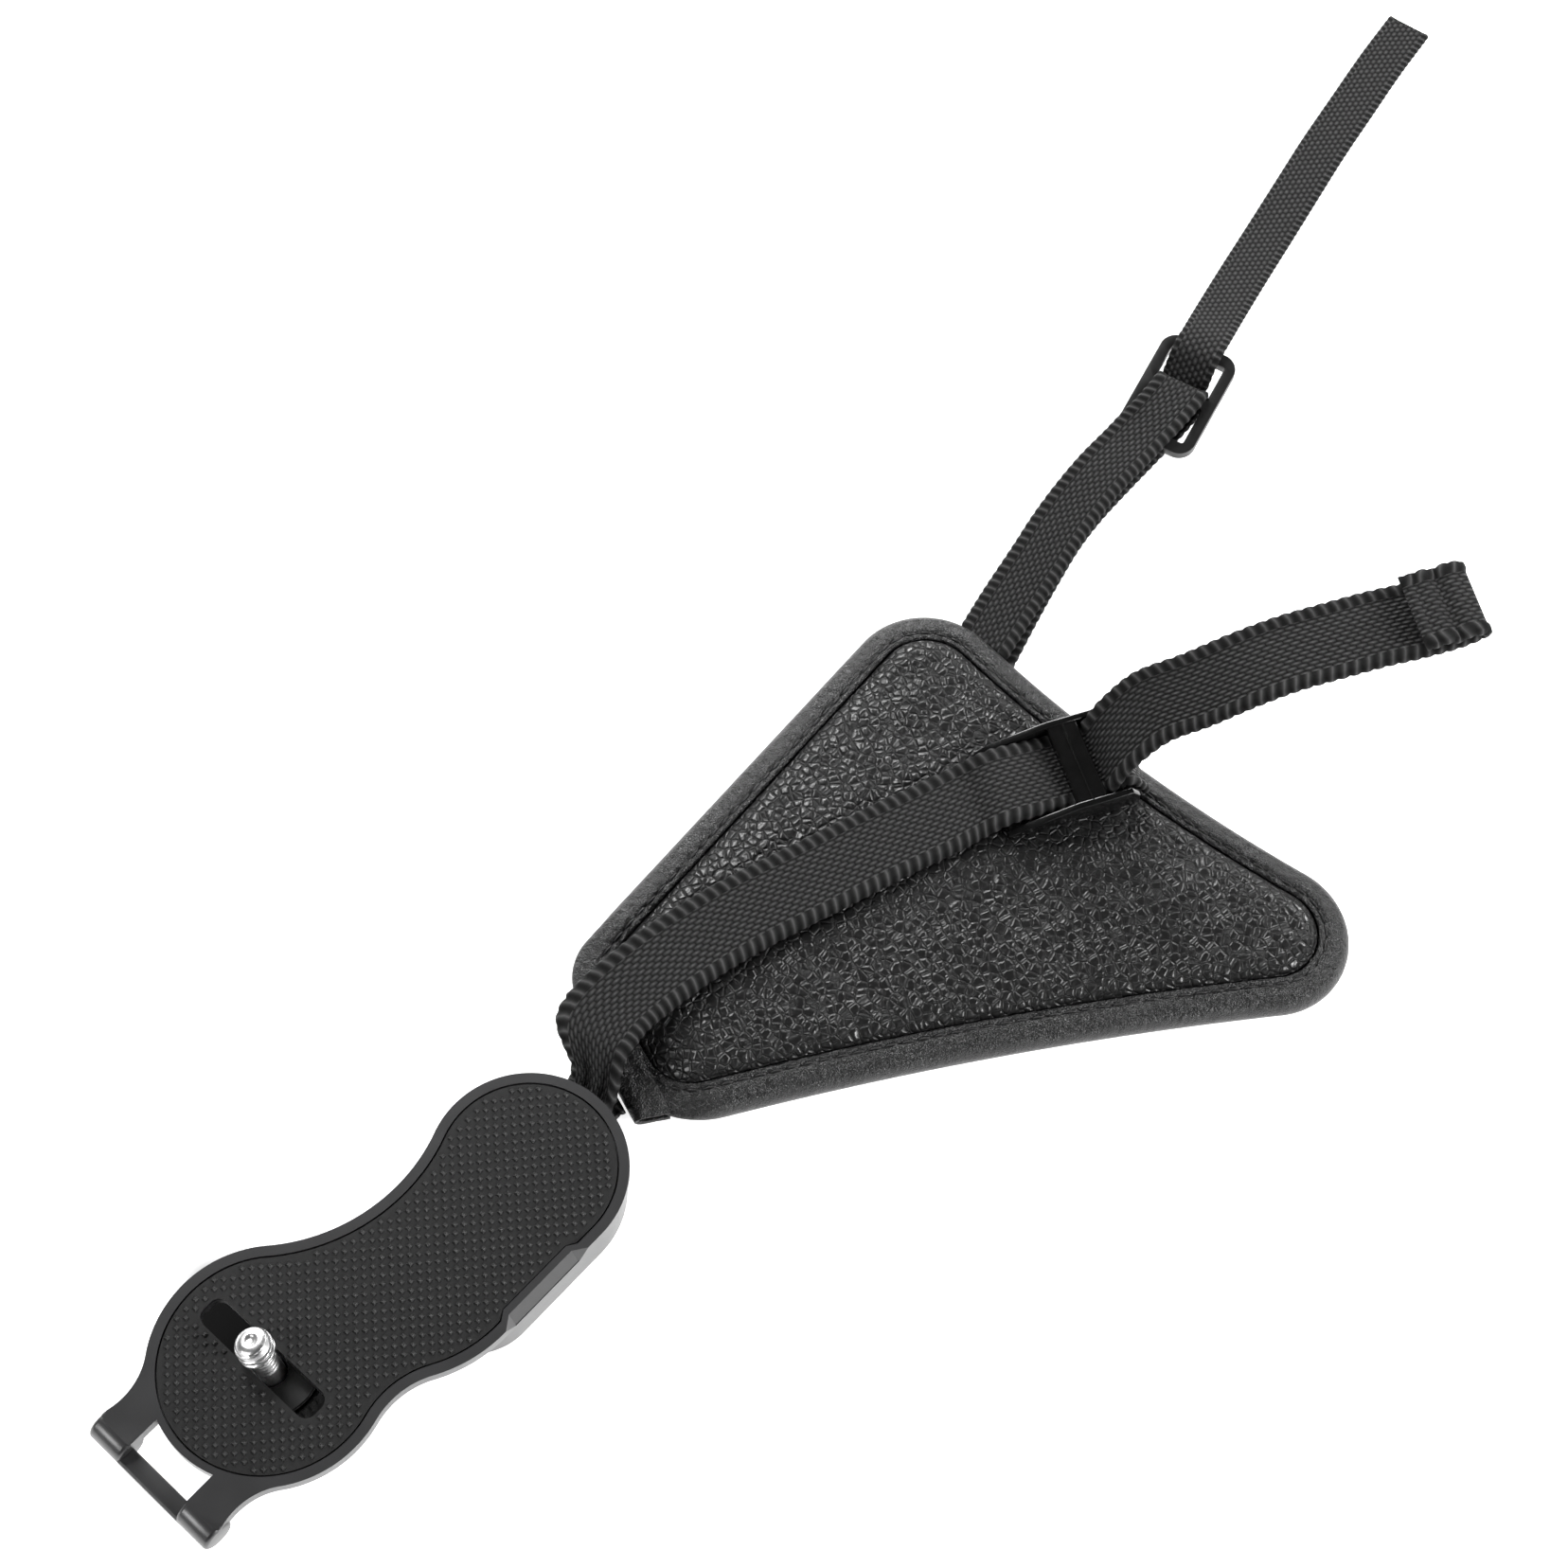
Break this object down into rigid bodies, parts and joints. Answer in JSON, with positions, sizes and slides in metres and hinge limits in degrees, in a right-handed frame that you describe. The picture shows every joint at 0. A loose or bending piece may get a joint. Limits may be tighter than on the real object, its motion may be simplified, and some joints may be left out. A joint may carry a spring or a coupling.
{
  "type": "camera_hand_grip_strap",
  "caption": "Camera hand grip: moulded base plate with rubber seat and captive tripod screw, padded leather palm pad, grip strap with ladder lock, and lug strap with slider",
  "frame": {"origin": "on the top of the rubber seat of the base plate, midway between the centres of the plate's two lobes; the rubber top is z = 0 and the table is z = -0.0116", "axes": "+Z out of the rubber seat, towards the camera; +X along the base plate's straight side, from the strap bar end to the small lobe and on to the pad and the lug strap; +Y completes a right-handed frame, towards the side of the plate with the deep waist"},
  "size_m": [0.4044, 0.1314, 0.044],
  "materials": {
    "plate": "fine matt black moulding",
    "rubber": "black rubber with a field of small diamond bumps",
    "steel": "bright plated steel",
    "wheel": "black",
    "leather": "black pebble-grain leather, semi-gloss",
    "binding": "smooth black leather binding",
    "foam": "dark foam",
    "webbing": "black nylon webbing",
    "gloss": "glossy black moulding",
    "slider": "satin black moulding"
  },
  "bodies": {
    "strap": {"plate_body": "plate", "rubber_seat": "rubber", "tripod_socket": "steel", "pad_binding": "binding", "pad_face": "leather", "pad_back": "leather", "pad_core": "foam", "corner_strip": "binding", "grip_strap": "webbing", "ladder_lock": "gloss", "buckle_tab": "webbing", "lug_strap": "webbing", "lug_tail": "webbing", "slider": "slider"},
    "carriage": {"wheel_washer": "wheel"},
    "screw": {"camera_screw": "steel", "thumb_wheel": "wheel"}
  },
  "joints": [
    {"name": "screw_slide", "type": "slide", "parent": "strap", "child": "carriage", "axis": [0, 1, 0], "range_m": [-0.0095, 0.0095]},
    {"name": "wheel_turn", "type": "hinge", "parent": "carriage", "child": "screw", "pos_m": [-0.0266, 0.0052, -0.0015], "axis": [0, 0.2756, 0.9613], "continuous": true}
  ]
}
